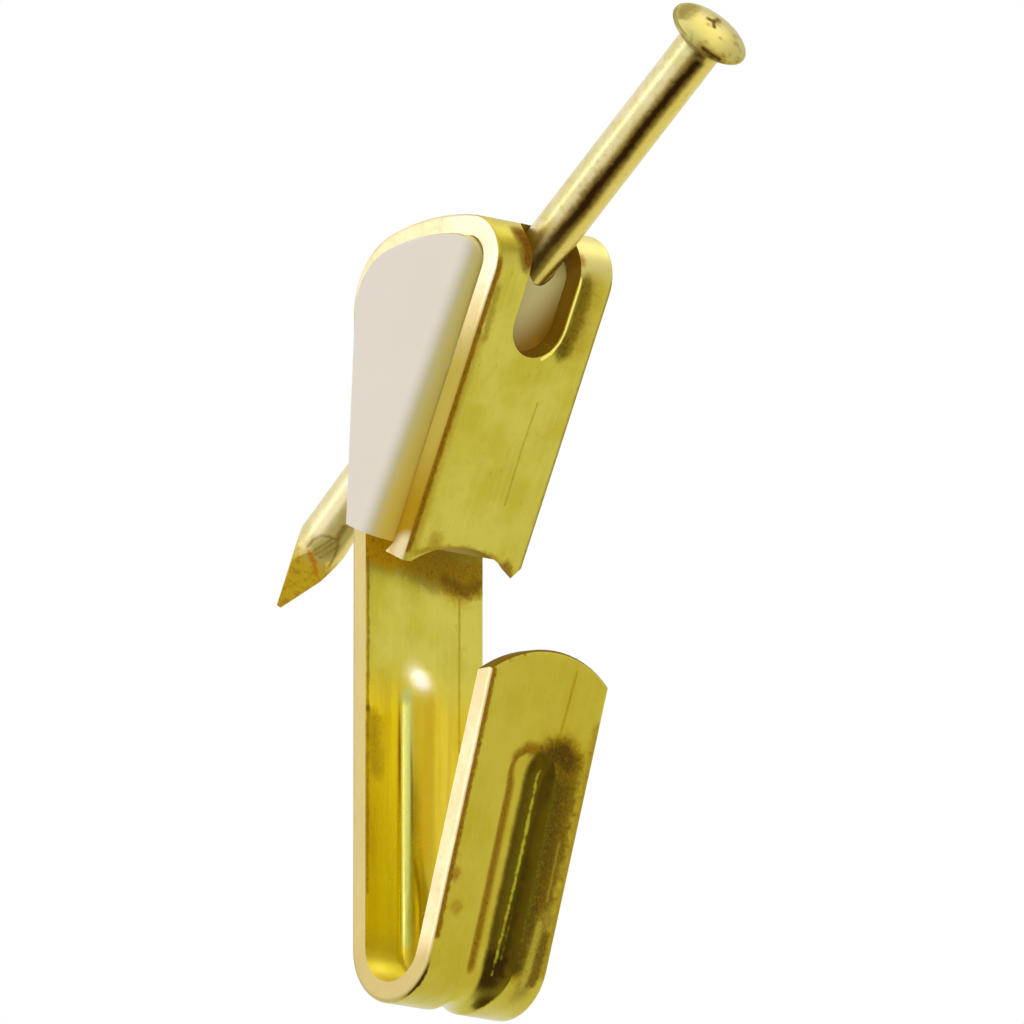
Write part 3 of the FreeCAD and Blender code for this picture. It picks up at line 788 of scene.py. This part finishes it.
def make_camera():
    """The camera at the photograph's angle, with its frame as wide as the photograph's."""
    back = Vector((
        math.sin(AZIMUTH) * math.cos(ELEVATION),
        -math.cos(AZIMUTH) * math.cos(ELEVATION),
        math.sin(ELEVATION),
    ))
    data = bpy.data.cameras.new("camera")
    data.sensor_width = SENSOR_MM
    data.lens = SENSOR_MM * CAMERA_DISTANCE / (FRAME_WIDTH_MM * MM)
    data.clip_start = 0.01
    data.clip_end = 10.0
    camera = bpy.data.objects.new("camera", data)
    camera.location = CAMERA_TARGET + back * CAMERA_DISTANCE
    camera.rotation_mode = "QUATERNION"
    camera.rotation_quaternion = (-back).to_track_quat("-Z", "Y")
    bpy.context.scene.collection.objects.link(camera)
    bpy.context.scene.camera = camera


def make_world():
    """A white room to the camera and in reflections, and a softer even light on everything else."""
    world = bpy.data.worlds.new("studio")
    bpy.context.scene.world = world
    world.use_nodes = True
    tree = world.node_tree
    tree.nodes.clear()
    rays = tree.nodes.new("ShaderNodeLightPath")
    seen = rays.outputs["Is Camera Ray"]
    for ray in ("Is Glossy Ray", "Is Transmission Ray"):
        either = tree.nodes.new("ShaderNodeMath")
        either.operation = "MAXIMUM"
        tree.links.new(seen, either.inputs[0])
        tree.links.new(rays.outputs[ray], either.inputs[1])
        seen = either.outputs[0]
    mix = tree.nodes.new("ShaderNodeMixShader")
    tree.links.new(seen, mix.inputs[0])
    soft_light = ((1.0, 0.98, 0.95, 1.0), 0.6)
    white_room = ((1.0, 1.0, 1.0, 1.0), 1.0)
    for socket, (colour, strength) in zip(mix.inputs[1:], (soft_light, white_room)):
        light = tree.nodes.new("ShaderNodeBackground")
        light.inputs["Color"].default_value = colour
        light.inputs["Strength"].default_value = strength
        tree.links.new(light.outputs[0], socket)
    output = tree.nodes.new("ShaderNodeOutputWorld")
    tree.links.new(mix.outputs[0], output.inputs[0])


def softbox(name, centre, size, watts):
    """A square area lamp that faces the object."""
    data = bpy.data.lights.new(name, "AREA")
    data.size = size
    data.energy = watts
    lamp = bpy.data.objects.new(name, data)
    lamp.location = centre
    lamp.rotation_mode = "QUATERNION"
    lamp.rotation_quaternion = (CAMERA_TARGET - Vector(centre)).to_track_quat("-Z", "Y")
    bpy.context.scene.collection.objects.link(lamp)


def stage_surface(name, colour):
    """A plain matt stage surface with a faint grain."""
    s = Surface(name)
    grain = s.noise((0.01, 0.01, 0.01), detail=2.0)
    shade = s.mix(grain, colour, tuple(0.97 * value for value in colour))
    s.finish(Base_Color=shade, Roughness=0.9)
    return s


def floor_surface():
    """Pale floor that takes shadows, looks white in reflections and is clear from below."""
    s = stage_surface("floor", (0.86, 0.86, 0.85))
    glow = s.add("ShaderNodeEmission")
    clear = s.add("ShaderNodeBsdfTransparent")
    glossy = s.add("ShaderNodeLightPath").outputs["Is Glossy Ray"]
    below = s.geometry.outputs["Backfacing"]
    shown = s.shader
    for share, other in ((glossy, glow), (below, clear)):
        either = s.add("ShaderNodeMixShader")
        for socket, value in zip(either.inputs, (share, shown.outputs[0], other.outputs[0])):
            s.feed(socket, value)
        shown = either
    s.feed(s.output.inputs[0], shown.outputs[0])
    return s


def panel(name, sides, ends, height, surface):
    """A level stage piece between two sides in X and two ends in Y."""
    (left, right), (front, back) = sides, ends
    corners = [(left, front, height), (right, front, height), (right, back, height), (left, back, height)]
    mesh = bpy.data.meshes.new(name)
    mesh.from_pydata(corners, [], [(0, 1, 2, 3)])
    mesh.materials.append(surface.material)
    piece = bpy.data.objects.new(name, mesh)
    bpy.context.scene.collection.objects.link(piece)
    return piece


def make_stage():
    """Floor, a dark card below the hook, which only reflections show, and lamps."""
    reach = (-FLOOR_SIZE / 2, FLOOR_SIZE / 2)
    panel("floor", reach, reach, -FLOOR_DROP, floor_surface())
    dark = stage_surface("dark_card", (0.09, 0.05, 0.012))
    card = panel("low_card", (-0.30, 0.06), (-0.28, 0.10), -CARD_DROP, dark)
    card.visible_camera = False
    card.visible_diffuse = False
    card.visible_shadow = False
    softbox("top_lamp", (0.25, -0.15, 0.6), 0.6, 1.5)
    softbox("left_lamp", (-0.6, 0.2, 0.25), 0.5, 1.4)
    softbox("front_lamp", (-0.55, -0.55, 0.25), 0.35, 0.7)


dress("hook_strip", strip_brass())
dress("nail_guide", guide_plastic())
dress("nail", nail_brass())
make_camera()
make_world()
make_stage()
bpy.context.scene.view_settings.view_transform = "Standard"
